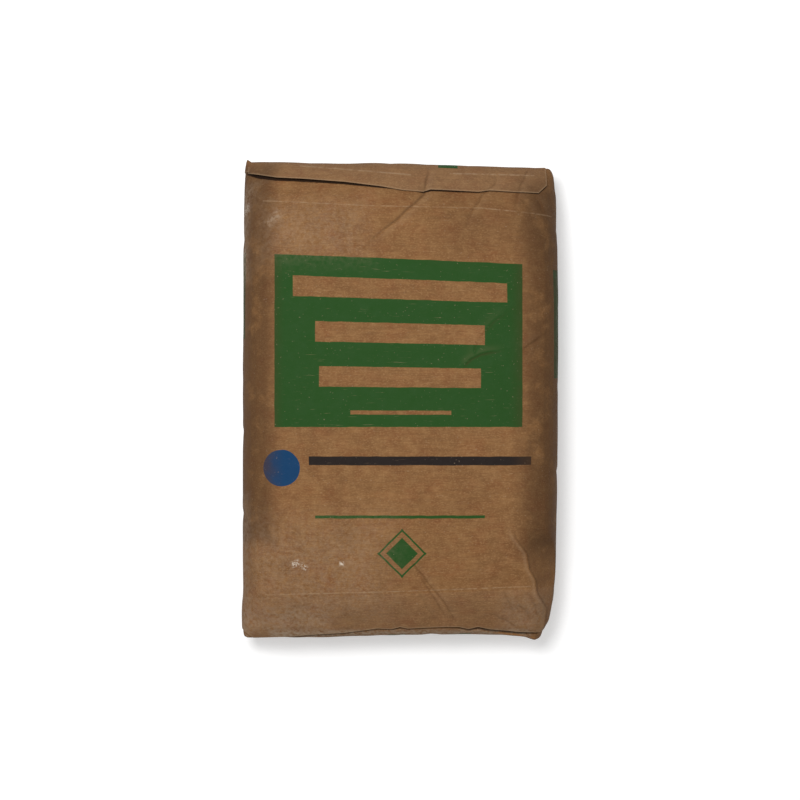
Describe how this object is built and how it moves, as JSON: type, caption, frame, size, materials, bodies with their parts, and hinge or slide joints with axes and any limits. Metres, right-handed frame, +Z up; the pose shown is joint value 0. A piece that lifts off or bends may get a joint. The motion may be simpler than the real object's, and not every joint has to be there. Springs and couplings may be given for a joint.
{
  "type": "cement bag",
  "caption": "Filled kraft paper cement sack lying flat, with folded and pasted ends, a loose valve corner and a printed face.",
  "frame": {"origin": "on the floor under the middle of the sack", "axes": "+X across the width, to the right of the printed face; +Y along the length, towards the top of the printed face; +Z up out of the printed face"},
  "size_m": [0.4036, 0.6128, 0.1403],
  "materials": {
    "kraft_paper": "matte brown kraft paper with green print, scuffed and dusty",
    "end_flap_paper": "matte brown kraft paper, slightly greyed by dust",
    "sleeve_paper": "matte brown kraft paper"
  },
  "bodies": {
    "root": {"sack_body": "kraft_paper", "top_end_flap": "end_flap_paper", "bottom_end_flap": "end_flap_paper", "valve_sleeve": "sleeve_paper"}
  },
  "joints": []
}
